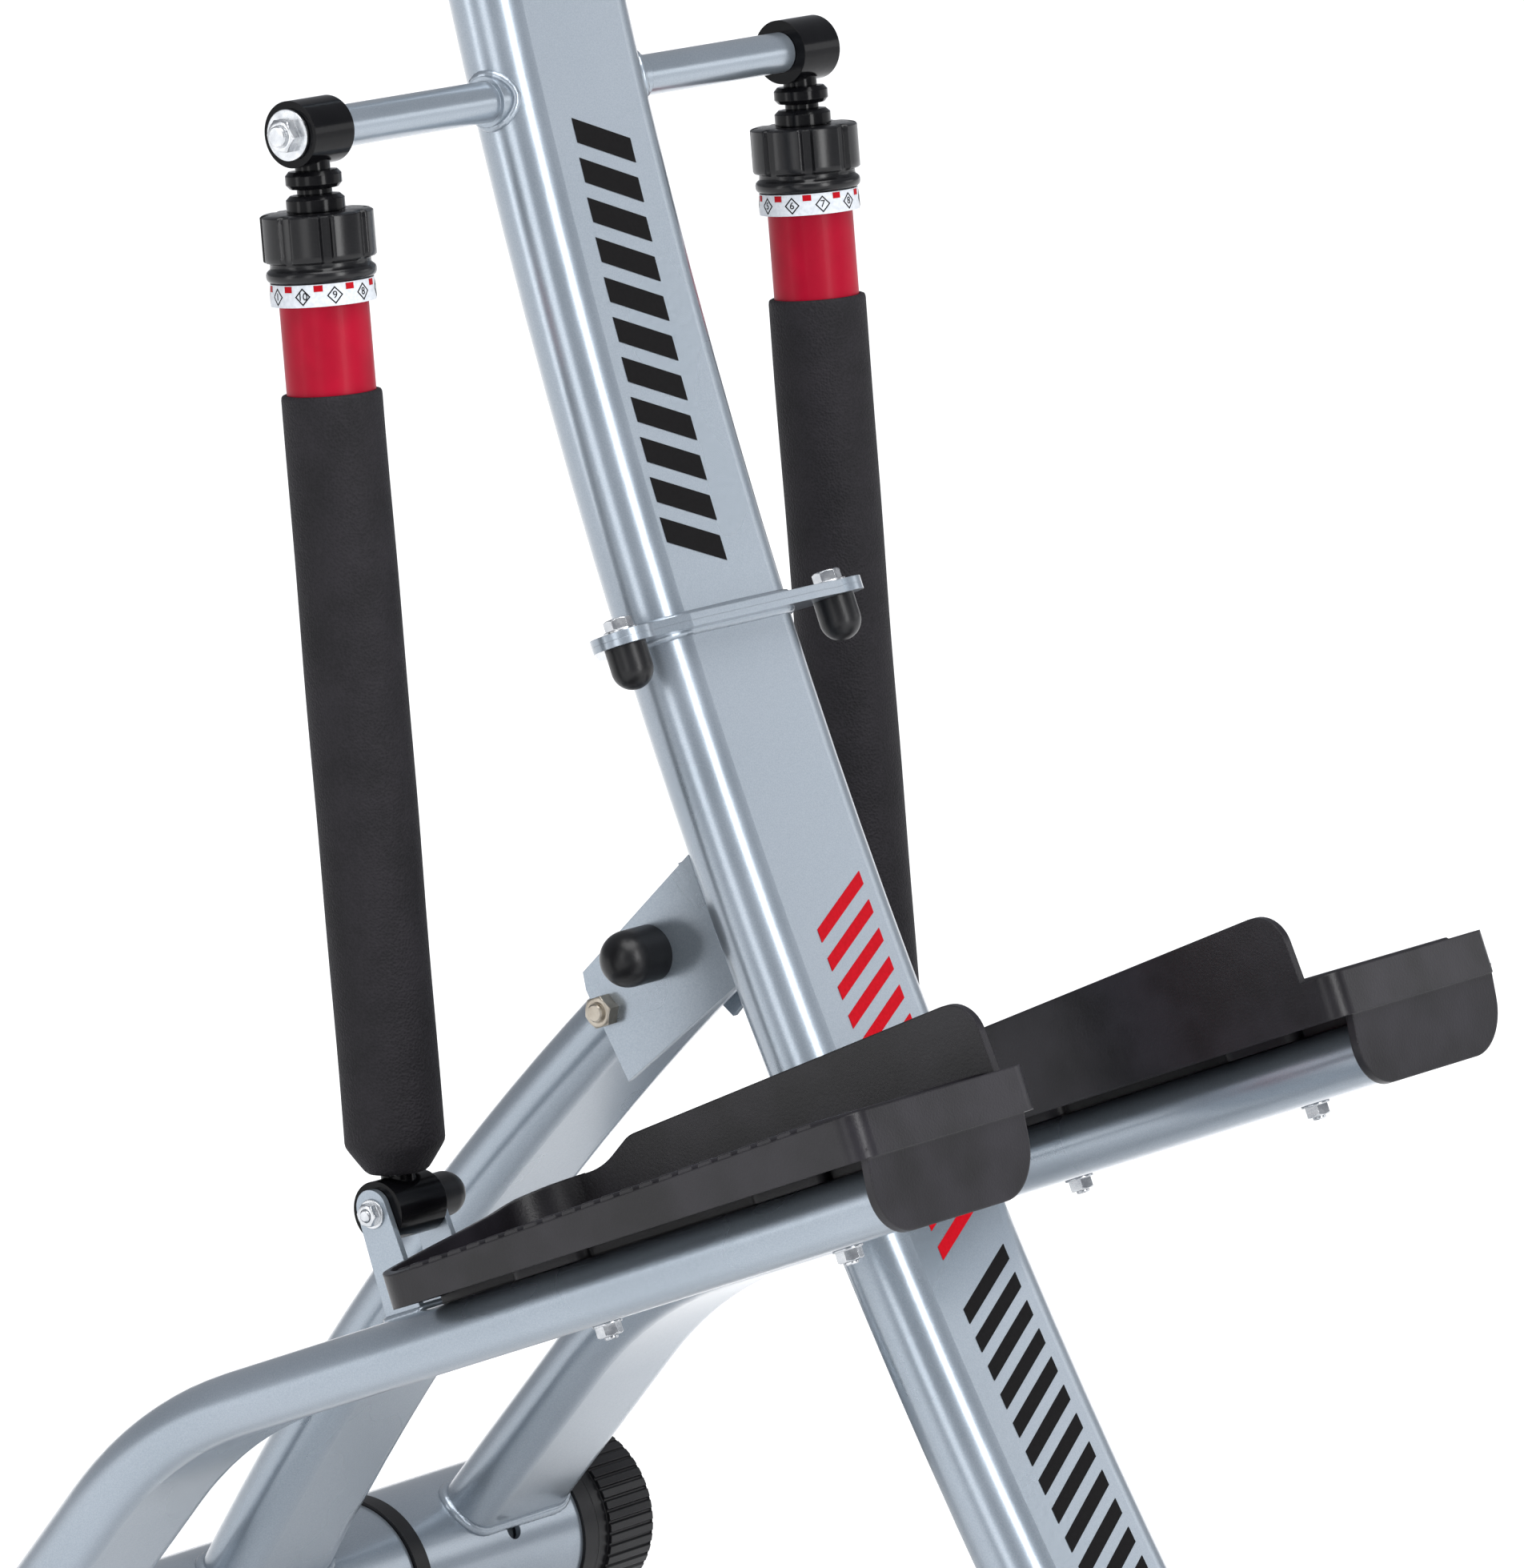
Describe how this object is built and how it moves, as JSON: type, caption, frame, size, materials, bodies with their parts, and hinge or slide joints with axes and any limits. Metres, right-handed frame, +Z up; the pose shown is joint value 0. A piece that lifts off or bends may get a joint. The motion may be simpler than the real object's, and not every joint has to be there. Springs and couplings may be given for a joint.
{
  "type": "hydraulic stepper",
  "caption": "Upright hydraulic stepper: curved flat-oval mast, pedals on pivoting arms, adjustable damping cylinders in foam sleeves, handlebar and small console.",
  "frame": {"origin": "on the floor below the middle of the machine, half way between the front and rear base tubes", "axes": "+X forward, the way the user faces; +Y the user's left; +Z up"},
  "size_m": [0.632, 0.516, 1.3493],
  "materials": {
    "frame_paint": "gloss metallic silver-blue powder coat",
    "black_plastic": "satin black moulded",
    "black_enamel": "gloss black enamel",
    "red_enamel": "gloss red enamel",
    "foam": "matt closed-cell foam",
    "pedal_plastic": "satin moulded",
    "zinc": "bright zinc plate",
    "rod_chrome": "ground and hard chromed",
    "scale_label": "printed film",
    "bush_plastic": "satin nylon",
    "console_plastic": "fine-textured moulded",
    "lens": "clear acrylic",
    "screen": "grey-green liquid crystal",
    "button_rubber": "satin"
  },
  "bodies": {
    "frame": {"base_end_caps": "black_plastic", "base_tube": "frame_paint", "bolt_caps": "black_plastic", "clamp_bolts": "zinc", "console_back": "console_plastic", "console_bracket": "black_enamel", "console_housing": "console_plastic", "console_lens": "lens", "console_screen": "screen", "flange_bolts": "zinc", "front_leg": "frame_paint", "grip_end_caps": "black_plastic", "handlebar": "frame_paint", "handlebar_clamp": "frame_paint", "handlebar_grips": "foam", "hanger_bar": "frame_paint", "hanger_bolts": "zinc", "leg_bolts": "zinc", "leg_bracket": "frame_paint", "leg_sleeve": "frame_paint", "mast_flange_lower": "frame_paint", "mast_flange_upper": "frame_paint", "mast_lower": "frame_paint", "mast_top_plate": "frame_paint", "mast_upper": "frame_paint", "rear_bolts": "zinc", "rear_end_caps": "black_plastic", "rear_saddle": "frame_paint", "rear_stabilizer": "frame_paint"},
    "left_arm": {"left_arm_tube": "frame_paint", "left_arm_sleeve": "frame_paint", "left_pivot_bushes": "bush_plastic", "left_clevis": "frame_paint", "left_clevis_bolt": "zinc", "left_clevis_cap": "black_plastic", "left_pedal": "pedal_plastic", "left_pedal_bolts": "zinc"},
    "left_cylinder": {"left_cylinder_eye": "black_enamel", "left_cylinder_body": "red_enamel", "left_scale_ring": "scale_label", "left_foam_sleeve": "foam"},
    "left_dial_knob": {"left_dial": "black_plastic"},
    "left_rod": {"left_piston_rod": "rod_chrome", "left_rod_eye": "black_enamel"},
    "right_arm": {"right_arm_tube": "frame_paint", "right_arm_sleeve": "frame_paint", "right_pivot_bushes": "bush_plastic", "right_clevis": "frame_paint", "right_clevis_bolt": "zinc", "right_clevis_cap": "black_plastic", "right_pedal": "pedal_plastic", "right_pedal_bolts": "zinc"},
    "right_cylinder": {"right_cylinder_eye": "black_enamel", "right_cylinder_body": "red_enamel", "right_scale_ring": "scale_label", "right_foam_sleeve": "foam"},
    "right_dial_knob": {"right_dial": "black_plastic"},
    "right_rod": {"right_piston_rod": "rod_chrome", "right_rod_eye": "black_enamel"},
    "mode_button": {"console_button": "button_rubber"}
  },
  "joints": [
    {"name": "left_pedal_pivot", "type": "hinge", "parent": "frame", "child": "left_arm", "pos_m": [0.274, 0.166, 0.042], "axis": [0, -1, 0], "range_deg": [0, 18], "stiffness_Nm_per_rad": 90, "springref_deg": -31.51},
    {"name": "left_cylinder_swing", "type": "hinge", "parent": "frame", "child": "left_cylinder", "pos_m": [0.078, 0.166, 0.763], "axis": [0, 1, 0], "range_deg": [0, 6.96]},
    {"name": "left_rod_swing", "type": "hinge", "parent": "left_arm", "child": "left_rod", "pos_m": [0.032, 0.166, 0.306], "axis": [0, 1, 0], "range_deg": [0, 24.96]},
    {"name": "left_dial_turn", "type": "hinge", "parent": "left_cylinder", "child": "left_dial_knob", "pos_m": [0.07319, 0.166, 0.71524], "axis": [0.1002, 0, 0.995], "range_deg": [0, 330]},
    {"name": "right_pedal_pivot", "type": "hinge", "parent": "frame", "child": "right_arm", "pos_m": [0.274, -0.166, 0.042], "axis": [0, -1, 0], "range_deg": [0, 18], "stiffness_Nm_per_rad": 90, "springref_deg": -31.51},
    {"name": "right_cylinder_swing", "type": "hinge", "parent": "frame", "child": "right_cylinder", "pos_m": [0.078, -0.166, 0.763], "axis": [0, 1, 0], "range_deg": [0, 6.96]},
    {"name": "right_rod_swing", "type": "hinge", "parent": "right_arm", "child": "right_rod", "pos_m": [0.032, -0.166, 0.306], "axis": [0, 1, 0], "range_deg": [0, 24.96]},
    {"name": "right_dial_turn", "type": "hinge", "parent": "right_cylinder", "child": "right_dial_knob", "pos_m": [0.07319, -0.166, 0.71524], "axis": [0.1002, 0, 0.995], "range_deg": [0, 330]},
    {"name": "mode_button_press", "type": "slide", "parent": "frame", "child": "mode_button", "axis": [0.766, 0, -0.6428], "range_m": [0, 0.0015], "stiffness_N_per_m": 900, "springref_m": -0.0006}
  ],
  "couplings": [
    {"joint": "left_cylinder_swing", "follows": "left_pedal_pivot", "ratio": 0.3755},
    {"joint": "left_rod_swing", "follows": "left_pedal_pivot", "ratio": 1.3755},
    {"joint": "right_cylinder_swing", "follows": "right_pedal_pivot", "ratio": 0.3755},
    {"joint": "right_rod_swing", "follows": "right_pedal_pivot", "ratio": 1.3755}
  ]
}
